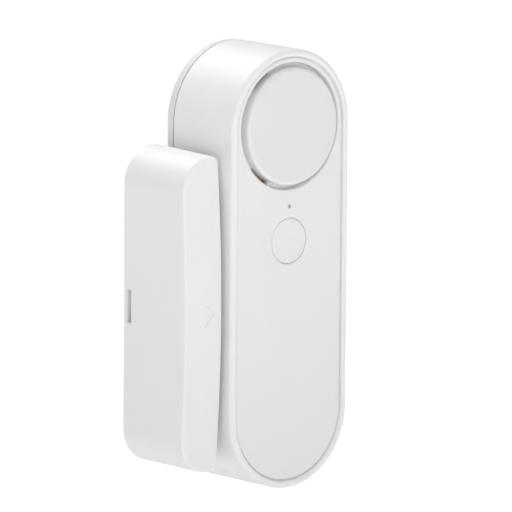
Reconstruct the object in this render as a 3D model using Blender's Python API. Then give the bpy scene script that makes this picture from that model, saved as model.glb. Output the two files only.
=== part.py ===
"""Door contact sensor: a wall unit with a siren, its clip-on bracket, and the magnet unit beside it.

The frame has +Z up and the front towards -Y. The wall is the plane y = 0, and the origin is the centre
of the bracket's adhesive face. All dimensions are in millimetres, and a depth is a distance out from
the wall, towards the front. Sections are drawn as (x, z) points. Neighbouring pieces keep GAP between them.
"""

import math

import bmesh
import bpy
from mathutils import Vector

MM = 0.001
GAP = 0.3
OVERLAP = 0.6                       # how far a boss, rib or hook runs into the wall that it grows from
PAST = 1.0                          # how far a cutter runs past the face that it opens

# Wall unit: two half circles joined by straight sides.
UNIT_HALF_WIDTH = 17.0
UNIT_ARC_Z = 31.75                  # height of the upper half circle's centre; the lower one mirrors it
UNIT_RIM_DEPTH = 23.2
UNIT_REAR_DEPTH = 3.4
RIM_FILLET = 1.0
RIM_WIDTH = 1.6
WALL = 1.9
PANEL_DEPTH = 22.7
PANEL_BACK = 21.1
LEDGE_INSET = 2.2
LEDGE_BACK = 20.0
ARC_STEPS = 24
FILLET_STEPS = 4

# Bracket and its adhesive pad.
PAD_THICKNESS = 1.0
BRACKET_BACK = 0.3
BRACKET_INSET = 0.1
BRACKET_FILLET = 1.5                # round edge at the back
BRACKET_FRONT = 3.0
BRACKET_RECESS_INSET = 2.0
HOOK_X = (13.6, 14.6)
HOOK_Z = (22.0, 30.0)
HOOK_DEPTH = 6.8

# Siren, which shares the upper half circle's centre.
SIREN_HOLE_RADIUS = 14.05
SIREN_CAP_RADIUS = 12.95
SIREN_CAP_DEPTH = 23.85
SIREN_CAP_FILLET = 0.5
SIREN_CAP_SKIRT = 1.35
SIREN_CAP_BACK = 20.2
SIREN_FLANGE_RADIUS = 14.3
SIREN_OPENINGS = (126.5, 233.5)  # middles of the sound openings round the cap, in degrees
SIREN_OPENING_HALF_ANGLE = 12.5
SIREN_OPENING_FRONT = 21.6
CHAMBER_RADIUS = 14.5
CHAMBER_BACK = 17.0
CHAMBER_FLOOR = 17.7
CHAMBER_LEDGE = 18.7
CHAMBER_RIM = 19.9
CHAMBER_BORE = 12.2
PIEZO_RADIUS = 13.5
PIEZO_DEPTHS = (19.6, 19.85)
CERAMIC_RADIUS = 10.0
CERAMIC_DEPTHS = (19.1, 19.3)
GASKET_DEPTHS = (19.0, 19.3)
GASKET_WIDTH = 1.0
CIRCLE_STEPS = 48

# Button and status light.
BUTTON_Z = 6.35
BUTTON_RADIUS = 4.85
BUTTON_CHAMFER = 0.2
BUTTON_FLANGE_RADIUS = 6.0
BUTTON_FLANGE_BACK = 20.1
BUTTON_STEM_RADIUS = 1.5
BUTTON_STEM_END = 19.7
LIGHT_Z = 14.0
LIGHT_HOLE_RADIUS = 0.55
LIGHT_PIPE_RADIUS = 1.2
LIGHT_PIPE_BACK = 18.1

# Circuit board and what it carries on its front.
BOARD_BACK = 15.5
BOARD_FRONT = 16.7
BOARD_INSET = 2.7
BOARD_BOTTOM = -40.4
BOARD_SCREW = (6.5, 15.4)           # the left one mirrors it
SWITCH_HALF = 3.0
SWITCH_FRONT = 18.7
PLUNGER_RADIUS = 1.6
PLUNGER_DEPTHS = (17.9, 19.4)
REED_X = -12.2
REED_DEPTH = 18.6
REED_Z = -8.05
REED_RADIUS = 1.1
REED_LENGTH = 12.0

# Chassis with the battery bay, held by four screws.
CHASSIS_BACK = 3.5
CHASSIS_FRONT = 5.0
CHASSIS_INSET = 2.2
BAY_HALF_WIDTH = 11.5
BAY_Z = (-38.6, 12.6)
BAY_WALL = 1.0
BAY_FLOOR = 14.2
SCREW_PLACES = ((0.0, 43.4), (-11.6, 16.6), (11.6, 16.6), (0.0, -43.2))
SCREW_TOWARDS = (90.0, 180.0, 0.0, 270.0)    # direction from each screw to the nearest wall, in degrees
SCREW_REACH = (4.0, 4.1, 4.1, 4.6)
CHASSIS_BOSS_RADIUS = 2.9
CHASSIS_BOSS_FRONT = 6.6
HOUSING_BOSS_RADIUS = 2.3
HOUSING_BOSS_FRONT = (15.2, 19.1, 19.1, 19.1)
RIB_HALF_WIDTH = 0.6
SCREW_HEAD_RADIUS = 1.7
SCREW_HEAD_DEPTHS = (3.8, 5.0)
SCREW_SHAFT_RADIUS = 1.0
SCREW_TIP = 13.0

# Two AAA cells side by side, in series.
CELL_X = 5.6
CELL_DEPTH = 8.7
CELL_RADIUS = 5.2
CELL_LENGTH = 44.5
CELL_NUB_RADIUS = 1.9
CELL_NUB_HEIGHT = 1.0
CONTACT_THICKNESS = 0.4

# Magnet unit: straight towards the wall unit, with large round corners on its other side.
MAGNET_RIGHT = -18.15
MAGNET_WIDTH = 10.5
MAGNET_HEIGHT = 70.4
MAGNET_Z = -8.05
MAGNET_LEFT_RADIUS = 8.0
MAGNET_RIGHT_RADIUS = 1.7
MAGNET_BACK = 0.4
MAGNET_FRONT = 21.3
MAGNET_CROWN = 1.65                 # how much less deep the front is at the ends than in the middle
MAGNET_TOP_DRAFT = 0.6              # how much lower the top face is at the front than at the back
MAGNET_FILLET = 0.7
MAGNET_WALL = 1.5
MAGNET_BASE_DEPTHS = (1.0, 2.6)
MAGNET_PAD_THICKNESS = 0.7
BAR_SIZE = 5.0
BAR_HALF_LENGTH = 18.0
BAR_BACK = 12.8
PRY_SLOT_Z = (-11.5, -4.2)
PRY_SLOT_DEPTHS = (1.5, 2.9)
CROWN_STEPS = 14
SHARP_CORNER = 0.05                 # least corner radius of an outline that is drawn inwards

MAGNET_CENTRE_X = MAGNET_RIGHT - MAGNET_WIDTH / 2
CELL_BOTTOM = BAY_Z[0] + 2 * GAP + CONTACT_THICKNESS
CELL_TOP = BAY_Z[1] - 2 * GAP - CONTACT_THICKNESS

FINISHES = {
    "white_shell": ((0.86, 0.86, 0.855), 0.42, 0.0),
    "white_panel": ((0.83, 0.83, 0.845), 0.38, 0.0),
    "inner_plastic": ((0.78, 0.78, 0.77), 0.5, 0.0),
    "adhesive_foam": ((0.72, 0.73, 0.72), 0.85, 0.0),
    "gasket_foam": ((0.08, 0.08, 0.085), 0.9, 0.0),
    "brass_plate": ((0.78, 0.6, 0.25), 0.28, 1.0),
    "ceramic": ((0.8, 0.79, 0.74), 0.45, 0.0),
    "steel": ((0.62, 0.62, 0.63), 0.3, 1.0),
    "board_green": ((0.03, 0.16, 0.07), 0.35, 0.0),
    "chip_black": ((0.02, 0.02, 0.022), 0.4, 0.0),
    "light_pipe": ((0.75, 0.76, 0.78), 0.2, 0.0),
    "reed_glass": ((0.55, 0.65, 0.6), 0.08, 0.0),
    "cell_sleeve": ((0.12, 0.14, 0.17), 0.3, 0.0),
    "wire_red": ((0.55, 0.03, 0.03), 0.45, 0.0),
    "wire_black": ((0.02, 0.02, 0.02), 0.45, 0.0),
    "ferrite": ((0.1, 0.1, 0.11), 0.6, 0.0),
    "magnet_nickel": ((0.58, 0.58, 0.57), 0.25, 1.0),
}

# Each moving body, its parent, and a point (x, depth, z) on the axis of its joint.
BODIES = {
    "bracket_side": (None, (0.0, 0.0, 0.0)),
    "wall_unit": ("bracket_side", (0.0, UNIT_REAR_DEPTH, 0.0)),
    "button": ("wall_unit", (0.0, PANEL_DEPTH, BUTTON_Z)),
    "magnet_side": ("bracket_side", (MAGNET_CENTRE_X, 0.0, MAGNET_Z)),
    "magnet_lid": ("magnet_side", (MAGNET_CENTRE_X, 0.0, MAGNET_Z)),
}


# ---------------------------------------------------------------- outlines, as (x, z) points


def arc(centre, radius, start, end, steps):
    """Points on an arc from start to end degrees, both ends included."""
    angles = [math.radians(start + (end - start) * i / steps) for i in range(steps + 1)]
    return [(centre[0] + radius * math.cos(a), centre[1] + radius * math.sin(a)) for a in angles]


def circle(centre, radius, steps=CIRCLE_STEPS):
    return arc(centre, radius, 0, 360, steps)[:-1]


def rectangle(x_range, z_range):
    (x0, x1), (z0, z1) = sorted(x_range), sorted(z_range)
    return [(x0, z0), (x1, z0), (x1, z1), (x0, z1)]


def stadium(inset):
    """The wall unit's outline, drawn inwards by inset."""
    radius = UNIT_HALF_WIDTH - inset
    upper = arc((0, UNIT_ARC_Z), radius, 0, 180, ARC_STEPS)
    lower = arc((0, -UNIT_ARC_Z), radius, 180, 360, ARC_STEPS)
    return upper + lower


def keyhole(centre, radius, towards, reach):
    """A round boss with a rib that runs from it to the wall, reach away in the direction towards."""
    half = math.degrees(math.asin(RIB_HALF_WIDTH / radius))
    round_part = arc(centre, radius, towards + half, towards + 360 - half, 16)
    along = Vector((math.cos(math.radians(towards)), math.sin(math.radians(towards))))
    across = Vector((-along.y, along.x)) * RIB_HALF_WIDTH
    end = Vector(centre) + along * reach
    return round_part + [tuple(end - across), tuple(end + across)]


def magnet_rows(inset):
    """Rows (z, left x, right x) of the magnet unit's outline, drawn inwards by inset, bottom to top."""
    half = MAGNET_HEIGHT / 2
    straight = half - MAGNET_LEFT_RADIUS
    left, right = MAGNET_LEFT_RADIUS - inset, max(MAGNET_RIGHT_RADIUS - inset, SHARP_CORNER)
    corner = half - inset - right
    rise = [straight + left * math.sin(math.radians(a)) for a in (8, 17, 26, 35, 44)]
    finish = [corner + right * math.sin(math.radians(a)) for a in (0, 18, 36, 54, 72, 90)]
    middle = [-straight + 2 * straight * i / CROWN_STEPS for i in range(CROWN_STEPS + 1)]
    upper = [z for z in rise if z < corner - SHARP_CORNER] + finish
    heights = [-z for z in reversed(upper)] + middle + upper
    rows = []
    for z in heights:
        left_rise, right_rise = max(abs(z) - straight, 0.0), max(abs(z) - corner, 0.0)
        left_reach = math.sqrt(max(left ** 2 - left_rise ** 2, 0.0))
        right_reach = math.sqrt(max(right ** 2 - right_rise ** 2, 0.0))
        left_x = MAGNET_RIGHT - MAGNET_WIDTH + inset + left - left_reach
        right_x = MAGNET_RIGHT - inset - right + right_reach
        rows.append((z + MAGNET_Z, left_x, right_x))
    return rows


# ---------------------------------------------------------------- solids


def section(outline, depth):
    """An outline as 3-D points at one depth."""
    return [Vector((x, -depth, z)) * MM for x, z in outline]


def prism(outline, depths):
    return [section(outline, depth) for depth in depths]


def box(x_range, depths, z_range):
    return prism(rectangle(x_range, z_range), depths)


def turned(centre, profile, steps=CIRCLE_STEPS):
    """Rings round an axis through centre along the depth, from (radius, depth) pairs."""
    return [section(circle(centre, radius, steps), depth) for radius, depth in profile]


def turned_upright(x, depth, profile, steps=24):
    """Rings round a vertical axis, from (radius, z) pairs."""
    return [[Vector((px, -py, z)) * MM for px, py in circle((x, depth), radius, steps)]
            for radius, z in profile]


def stepped_stadium(path):
    """Rings of the wall unit's outline, from (inset, depth) pairs."""
    return [section(stadium(inset), depth) for inset, depth in path]


def rounded_corner(radius, depth):
    """(inset, depth) pairs that turn a side wall into a front face at depth."""
    quarter = [math.radians(90 * i / FILLET_STEPS) for i in range(FILLET_STEPS + 1)]
    return [(radius * (1 - math.cos(a)), depth - radius * (1 - math.sin(a))) for a in quarter]


def add_shape(mesh, rings, closed):
    """Skins the rings. The first and last ring are joined when closed, and filled when not."""
    loops = [[mesh.verts.new(point) for point in ring] for ring in rings]
    following = loops[1:] + loops[:1] if closed else loops[1:]
    for near, far in zip(loops, following):
        for i in range(len(near)):
            mesh.faces.new((near[i - 1], near[i], far[i], far[i - 1]))
    if not closed:
        mesh.faces.new(loops[0])
        mesh.faces.new(loops[-1])


def new_object(name, shapes, closed=False):
    mesh = bmesh.new()
    for rings in shapes:
        add_shape(mesh, rings, closed)
    return object_from(name, mesh)


def object_from(name, mesh):
    bmesh.ops.recalc_face_normals(mesh, faces=mesh.faces)
    data = bpy.data.meshes.new(name)
    mesh.to_mesh(data)
    mesh.free()
    obj = bpy.data.objects.new(name, data)
    bpy.context.scene.collection.objects.link(obj)
    return obj


def combine(target, shapes, operation):
    """Joins shapes to the target with UNION or cuts them from it with DIFFERENCE."""
    for rings in shapes:
        tool = new_object("tool", [rings])
        tool.hide_render = True
        tool.display_type = "WIRE"
        modifier = target.modifiers.new(operation, "BOOLEAN")
        modifier.solver = "EXACT"
        modifier.operation = operation
        modifier.object = tool
        graph = bpy.context.evaluated_depsgraph_get()
        result = bpy.data.meshes.new_from_object(target.evaluated_get(graph))
        target.modifiers.remove(modifier)
        target.data = result
        bpy.data.objects.remove(tool)


def new_wire(name, points, radius):
    """A round wire through points (x, depth, z)."""
    curve = bpy.data.curves.new(name, "CURVE")
    curve.dimensions = "3D"
    curve.bevel_depth = radius * MM
    curve.bevel_resolution = 1
    curve.use_fill_caps = True
    spline = curve.splines.new("POLY")
    spline.points.add(len(points) - 1)
    for target, (x, depth, z) in zip(spline.points, points):
        target.co = (x * MM, -depth * MM, z * MM, 1.0)
    obj = bpy.data.objects.new(name, curve)
    bpy.context.scene.collection.objects.link(obj)
    return obj


def smooth_route(knots, steps=5):
    """A Catmull-Rom curve through knots."""
    knots = [Vector(k) for k in knots]
    padded = [knots[0] * 2 - knots[1]] + knots + [knots[-1] * 2 - knots[-2]]
    points = []
    for a, b, c, d in zip(padded, padded[1:], padded[2:], padded[3:]):
        for i in range(steps):
            t = i / steps
            points.append(0.5 * (2 * b + (c - a) * t + (2 * a - 5 * b + 4 * c - d) * t * t
                                 + (3 * b - a - 3 * c + d) * t * t * t))
    return points + [knots[-1]]


# ---------------------------------------------------------------- bodies and finishes


def clear_scene():
    for obj in list(bpy.data.objects):
        bpy.data.objects.remove(obj)


def make_bodies():
    """One empty for each body, on its joint's axis."""
    empties = {}
    for name, (parent, (x, depth, z)) in BODIES.items():
        empty = bpy.data.objects.new(name, None)
        bpy.context.scene.collection.objects.link(empty)
        empty.empty_display_size = 5 * MM
        place = Vector((x, -depth, z)) * MM
        empty["world_place"] = place
        if parent:
            empty.parent = empties[parent]
            place = place - Vector(empties[parent]["world_place"])
        empty.location = place
        empties[name] = empty
    return empties


def make_finishes():
    finishes = {}
    for name, (colour, roughness, metallic) in FINISHES.items():
        finish = bpy.data.materials.new(name)
        finish.use_nodes = True
        shader = finish.node_tree.nodes["Principled BSDF"]
        shader.inputs["Base Color"].default_value = (*colour, 1.0)
        shader.inputs["Roughness"].default_value = roughness
        shader.inputs["Metallic"].default_value = metallic
        finish.diffuse_color = (*colour, 1.0)
        finishes[name] = finish
    return finishes


def settle(obj, finish, body):
    """Gives a piece its finish, smooth round faces, and the body that carries it."""
    obj.data.materials.clear()
    obj.data.materials.append(FINISH[finish])
    if obj.type == "MESH":
        obj.data.shade_smooth()
        obj.data.set_sharp_from_angle(angle=math.radians(30))
    obj.parent = BODY[body]
    obj.location = -Vector(BODY[body]["world_place"])


# ---------------------------------------------------------------- bracket


def rear_bracket():
    back_edge = [(BRACKET_INSET + inset, 2 * BRACKET_BACK - depth)
                 for inset, depth in reversed(rounded_corner(BRACKET_FILLET, BRACKET_BACK))]
    path = [(BRACKET_RECESS_INSET, PAD_THICKNESS + GAP), (BRACKET_RECESS_INSET, BRACKET_BACK),
            *back_edge, (BRACKET_INSET, BRACKET_FRONT - 0.2), (BRACKET_INSET + 0.2, BRACKET_FRONT)]
    bracket = new_object("rear_bracket", [stepped_stadium(path)])
    depths = (BRACKET_FRONT - OVERLAP, HOOK_DEPTH)
    hooks = [box([side * x for x in HOOK_X], depths, [end * z for z in HOOK_Z])
             for side in (-1, 1) for end in (-1, 1)]
    combine(bracket, hooks, "UNION")
    settle(bracket, "white_shell", "bracket_side")


def bracket_adhesive_pad():
    path = [(BRACKET_RECESS_INSET + GAP, 0.0), (BRACKET_RECESS_INSET + GAP, PAD_THICKNESS)]
    pad = new_object("bracket_adhesive_pad", [stepped_stadium(path)])
    settle(pad, "adhesive_foam", "bracket_side")


# ---------------------------------------------------------------- wall unit: shell


def main_housing():
    """The outer shell: a tube with a rim round the panel, and a boss for each chassis screw."""
    rim = rounded_corner(RIM_FILLET, UNIT_RIM_DEPTH)
    path = [(0.25, UNIT_REAR_DEPTH), (0.0, UNIT_REAR_DEPTH + 0.25), *rim,
            (RIM_WIDTH - 0.15, UNIT_RIM_DEPTH), (RIM_WIDTH, UNIT_RIM_DEPTH - 0.15),
            (RIM_WIDTH, PANEL_BACK - GAP), (LEDGE_INSET, PANEL_BACK - GAP),
            (LEDGE_INSET, LEDGE_BACK), (WALL, LEDGE_BACK - GAP), (WALL, UNIT_REAR_DEPTH)]
    housing = new_object("main_housing", [stepped_stadium(path)], closed=True)
    back = CHASSIS_BOSS_FRONT + GAP
    bosses = [prism(keyhole(place, HOUSING_BOSS_RADIUS, towards, reach), (back, front))
              for place, towards, reach, front
              in zip(SCREW_PLACES, SCREW_TOWARDS, SCREW_REACH, HOUSING_BOSS_FRONT)]
    combine(housing, bosses, "UNION")
    holes = [prism(circle(place, SCREW_SHAFT_RADIUS + GAP, 16), (back - PAST, SCREW_TIP + GAP))
             for place in SCREW_PLACES]
    combine(housing, holes, "DIFFERENCE")
    settle(housing, "white_shell", "wall_unit")


def front_panel():
    """The inset face, with holes for the siren, the status light and the button."""
    edge = RIM_WIDTH + GAP
    path = [(edge, PANEL_BACK), (edge, PANEL_DEPTH - 0.15), (edge + 0.15, PANEL_DEPTH)]
    panel = new_object("front_panel", [stepped_stadium(path)])
    through = (PANEL_BACK - PAST, PANEL_DEPTH + PAST)
    holes = [prism(circle((0, UNIT_ARC_Z), SIREN_HOLE_RADIUS), through),
             prism(circle((0, LIGHT_Z), LIGHT_HOLE_RADIUS, 16), through),
             prism(circle((0, BUTTON_Z), BUTTON_RADIUS + GAP), through)]
    combine(panel, holes, "DIFFERENCE")
    settle(panel, "white_panel", "wall_unit")


# ---------------------------------------------------------------- wall unit: siren


def siren_cap():
    """A disc with a skirt and a flange that the front panel holds down. Two openings on its left let the sound out."""
    outer = [(SIREN_CAP_RADIUS - inset, depth)
             for inset, depth in rounded_corner(SIREN_CAP_FILLET, SIREN_CAP_DEPTH)]
    inner = SIREN_CAP_RADIUS - SIREN_CAP_SKIRT
    flange_front = PANEL_BACK - GAP
    profile = [(inner, SIREN_CAP_DEPTH - SIREN_CAP_SKIRT), (inner, SIREN_CAP_BACK),
               (SIREN_FLANGE_RADIUS, SIREN_CAP_BACK), (SIREN_FLANGE_RADIUS, flange_front),
               (SIREN_CAP_RADIUS, flange_front), *outer]
    centre = (0, UNIT_ARC_Z)
    cap = new_object("siren_cap", [turned(centre, profile)])
    openings = []
    for middle in SIREN_OPENINGS:
        ends = (middle - SIREN_OPENING_HALF_ANGLE, middle + SIREN_OPENING_HALF_ANGLE)
        outline = arc(centre, inner - OVERLAP, ends[1], ends[0], 4)
        outline += arc(centre, SIREN_FLANGE_RADIUS + OVERLAP, *ends, 4)
        openings.append(prism(outline, (SIREN_CAP_BACK - PAST, SIREN_OPENING_FRONT)))
    combine(cap, openings, "DIFFERENCE")
    settle(cap, "white_panel", "wall_unit")


def siren_chamber():
    """The cup behind the sounder, with a notch for its two wires."""
    profile = [(CHAMBER_RADIUS - 0.2, CHAMBER_BACK), (CHAMBER_RADIUS, CHAMBER_BACK + 0.2),
               (CHAMBER_RADIUS, CHAMBER_RIM), (PIEZO_RADIUS + GAP, CHAMBER_RIM),
               (PIEZO_RADIUS + GAP, CHAMBER_LEDGE), (CHAMBER_BORE, CHAMBER_LEDGE),
               (CHAMBER_BORE, CHAMBER_FLOOR)]
    chamber = new_object("siren_chamber", [turned((0, UNIT_ARC_Z), profile)])
    bottom = UNIT_ARC_Z - CHAMBER_RADIUS
    notch = box((-3.6, 3.6), (CHAMBER_FLOOR + 0.05, CHAMBER_LEDGE - 0.05), (bottom - PAST, bottom + 4.0))
    combine(chamber, [notch], "DIFFERENCE")
    settle(chamber, "inner_plastic", "wall_unit")


def piezo_sounder():
    """The brass plate, its ceramic disc and the foam ring that it rests on."""
    centre = (0, UNIT_ARC_Z)
    plate = new_object("piezo_plate", [prism(circle(centre, PIEZO_RADIUS), PIEZO_DEPTHS)])
    settle(plate, "brass_plate", "wall_unit")
    disc = new_object("piezo_ceramic", [prism(circle(centre, CERAMIC_RADIUS), CERAMIC_DEPTHS)])
    settle(disc, "ceramic", "wall_unit")
    outer, inner = PIEZO_RADIUS, PIEZO_RADIUS - GASKET_WIDTH
    near, far = GASKET_DEPTHS
    profile = [(outer, near), (outer, far), (inner, far), (inner, near)]
    gasket = new_object("piezo_gasket", [turned(centre, profile)], closed=True)
    settle(gasket, "gasket_foam", "wall_unit")


def piezo_wires():
    """Two leads from the sounder, through the chamber's notch, down to the board."""
    depth = (CHAMBER_FLOOR + CERAMIC_DEPTHS[0]) / 2 - 0.1
    edge = UNIT_ARC_Z - CHAMBER_RADIUS
    for name, side, start in (("piezo_wire_red", -1, 8.0), ("piezo_wire_black", 1, 2.6)):
        knots = [(side * 0.9, depth, edge + start), (side * 1.6, depth - 0.1, edge + 1.6),
                 (side * 2.4, depth - 0.15, edge - 0.2), (side * 2.6, depth - 0.5, edge - 1.0),
                 (side * 2.6, BOARD_FRONT + GAP, edge - 1.4)]
        wire = new_wire(name, smooth_route(knots), 0.3)
        settle(wire, name.replace("piezo_", ""), "wall_unit")


# ---------------------------------------------------------------- wall unit: button and light


def button_cap():
    profile = [(BUTTON_STEM_RADIUS, BUTTON_STEM_END), (BUTTON_STEM_RADIUS, BUTTON_FLANGE_BACK),
               (BUTTON_FLANGE_RADIUS, BUTTON_FLANGE_BACK), (BUTTON_FLANGE_RADIUS, PANEL_BACK - GAP),
               (BUTTON_RADIUS, PANEL_BACK - GAP), (BUTTON_RADIUS, PANEL_DEPTH - BUTTON_CHAMFER),
               (BUTTON_RADIUS - BUTTON_CHAMFER, PANEL_DEPTH)]
    cap = new_object("button_cap", [turned((0, BUTTON_Z), profile)])
    settle(cap, "white_panel", "button")


def tact_switch():
    """The switch under the button: a square body with a well, and the plunger in it."""
    half = (-SWITCH_HALF, SWITCH_HALF)
    body = new_object("tact_switch_body", [box(half, (BOARD_FRONT + GAP, SWITCH_FRONT),
                                               [BUTTON_Z + h for h in half])])
    well = prism(circle((0, BUTTON_Z), PLUNGER_RADIUS + GAP, 24),
                 (PLUNGER_DEPTHS[0] - 0.5, SWITCH_FRONT + PAST))
    combine(body, [well], "DIFFERENCE")
    settle(body, "chip_black", "wall_unit")
    near, far = PLUNGER_DEPTHS
    profile = [(PLUNGER_RADIUS, near), (PLUNGER_RADIUS, far - 0.2), (PLUNGER_RADIUS - 0.2, far)]
    plunger = new_object("tact_switch_plunger", [turned((0, BUTTON_Z), profile, 24)])
    settle(plunger, "chip_black", "button")


def status_light():
    """The light-emitting chip and the clear pipe that carries its light to the hole in the panel."""
    profile = [(LIGHT_PIPE_RADIUS, LIGHT_PIPE_BACK), (LIGHT_PIPE_RADIUS, PANEL_BACK - GAP - 0.2),
               (LIGHT_PIPE_RADIUS - 0.2, PANEL_BACK - GAP)]
    pipe = new_object("light_pipe", [turned((0, LIGHT_Z), profile, 20)])
    settle(pipe, "light_pipe", "wall_unit")
    chip = new_object("status_led", [box((-1.0, 1.0), (BOARD_FRONT + GAP, LIGHT_PIPE_BACK - GAP),
                                         (LIGHT_Z - 0.65, LIGHT_Z + 0.65))])
    settle(chip, "light_pipe", "wall_unit")


# ---------------------------------------------------------------- wall unit: board


def circuit_board():
    """A full-height board, cut off above the bottom boss and notched round the two side bosses."""
    path = [(BOARD_INSET, BOARD_BACK), (BOARD_INSET, BOARD_FRONT)]
    board = new_object("circuit_board", [stepped_stadium(path)])
    through = (BOARD_BACK - PAST, BOARD_FRONT + PAST)
    wide = UNIT_HALF_WIDTH
    side_x, side_z = SCREW_PLACES[2]
    clear = HOUSING_BOSS_RADIUS + 2 * GAP
    cuts = [box((-wide, wide), through, (BOARD_BOTTOM, -UNIT_ARC_Z - UNIT_HALF_WIDTH))]
    cuts += [box((side * (side_x - clear), side * wide), through, (side_z - clear, side_z + clear))
             for side in (-1, 1)]
    cuts += [prism(circle((side * BOARD_SCREW[0], BOARD_SCREW[1]), 1.1, 16), through) for side in (-1, 1)]
    combine(board, cuts, "DIFFERENCE")
    settle(board, "board_green", "wall_unit")


def board_parts():
    """The flat components on the board's front."""
    base = BOARD_FRONT + GAP
    parts = {
        "radio_module_board": ("board_green", (-7.5, 7.5), (base, base + 0.8), (-37.0, -23.0)),
        "radio_module_shield": ("steel", (-6.0, 6.0), (base + 0.8 + GAP, base + 2.9), (-35.5, -25.5)),
        "microcontroller": ("chip_black", (1.5, 8.5), (base, base + 0.9), (-17.0, -10.0)),
        "reservoir_capacitor": ("ferrite", (5.0, 8.2), (base, base + 2.5), (-5.5, 0.5)),
    }
    for name, (finish, x_range, depths, z_range) in parts.items():
        settle(new_object(name, [box(x_range, depths, z_range)]), finish, "wall_unit")


def reed_switch():
    """The glass reed switch beside the magnet, with its two leads bent down to the board."""
    half, radius = REED_LENGTH / 2, REED_RADIUS
    dome = [math.radians(a) for a in (60, 30, 0)]
    upper = [(radius * math.cos(a), REED_Z + half - radius + radius * math.sin(a)) for a in dome]
    lower = [(r, 2 * REED_Z - z) for r, z in reversed(upper)]
    glass = new_object("reed_switch_glass", [turned_upright(REED_X, REED_DEPTH, upper + lower, 16)])
    settle(glass, "reed_glass", "wall_unit")
    for name, side in (("reed_lead_upper", 1), ("reed_lead_lower", -1)):
        start = REED_Z + side * (half + 0.15)
        bend = 0.9
        turn = [(REED_X, REED_DEPTH - bend * (1 - math.cos(a)), start + side * (1.6 + bend * math.sin(a)))
                for a in (math.radians(15 * i) for i in range(7))]
        points = [(REED_X, REED_DEPTH, start), *turn, (REED_X, BOARD_FRONT + GAP, turn[-1][2])]
        settle(new_wire(name, points, 0.3), "steel", "wall_unit")


def siren_driver():
    """The step-up coil and its capacitor, on the back of the board behind the siren."""
    front = BOARD_BACK - GAP
    coil = [(4.5, 7.0), (4.5, 8.6), (3.7, 8.9), (3.7, front - 1.9), (4.5, front - 1.6), (4.5, front)]
    settle(new_object("step_up_coil", [turned((5.6, 28.0), coil, 32)]), "ferrite", "wall_unit")
    can = [(3.7, 6.2), (4.0, 6.5), (4.0, front - 1.9), (3.7, front - 1.5), (4.0, front - 1.1), (4.0, front)]
    settle(new_object("siren_capacitor", [turned((-5.8, 28.0), can, 32)]), "cell_sleeve", "wall_unit")


def antenna():
    """A wound antenna across the top of the board's back, with one end turned up to the board."""
    turns, steps, coil_radius, half_length = 7, 12, 1.7, 7.5
    depth, z = 12.4, 37.0
    points = []
    for i in range(turns * steps + 1):
        angle = 2 * math.pi * i / steps
        x = -half_length + 2 * half_length * i / (turns * steps)
        points.append((x, depth + coil_radius * math.sin(angle), z + coil_radius * math.cos(angle)))
    top = z + coil_radius
    tail = [(half_length + 0.6, depth + 0.8, top), (half_length + 0.9, depth + 1.7, top),
            (half_length + 0.9, BOARD_BACK - GAP, top)]
    settle(new_wire("antenna_coil", points + tail, 0.35), "brass_plate", "wall_unit")


def small_screw(name, place, head_depths, tip, head_radius, shaft_radius):
    """A pan-head screw along the depth, from the outside of its head to its tip, with a cross recess."""
    outside, under = head_depths
    inwards = math.copysign(0.35, under - outside)
    profile = [(head_radius - 0.35, outside), (head_radius, outside + inwards), (head_radius, under),
               (shaft_radius, under), (shaft_radius, tip - inwards), (shaft_radius * 0.5, tip)]
    screw = new_object(name, [turned(place, profile, 20)])
    arm, half = head_radius * 0.6, 0.22
    quarter = [(arm, half), (half, half), (half, arm)]
    cross = []
    for _ in range(4):
        cross += [(place[0] + x, place[1] + z) for x, z in quarter]
        quarter = [(-z, x) for x, z in quarter]
    combine(screw, [prism(cross, (outside - inwards, outside + 1.6 * inwards))], "DIFFERENCE")
    settle(screw, "steel", "wall_unit")


def screws():
    for number, place in enumerate(SCREW_PLACES, 1):
        small_screw(f"chassis_screw_{number}", place, SCREW_HEAD_DEPTHS, SCREW_TIP,
                    SCREW_HEAD_RADIUS, SCREW_SHAFT_RADIUS)
    x, z = BOARD_SCREW
    head = (BOARD_FRONT + GAP + 1.1, BOARD_FRONT + GAP)
    for name, side in (("board_screw_left", -1), ("board_screw_right", 1)):
        small_screw(name, (side * x, z), head, 9.0, 1.5, 0.8)


# ---------------------------------------------------------------- wall unit: chassis and cells


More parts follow.
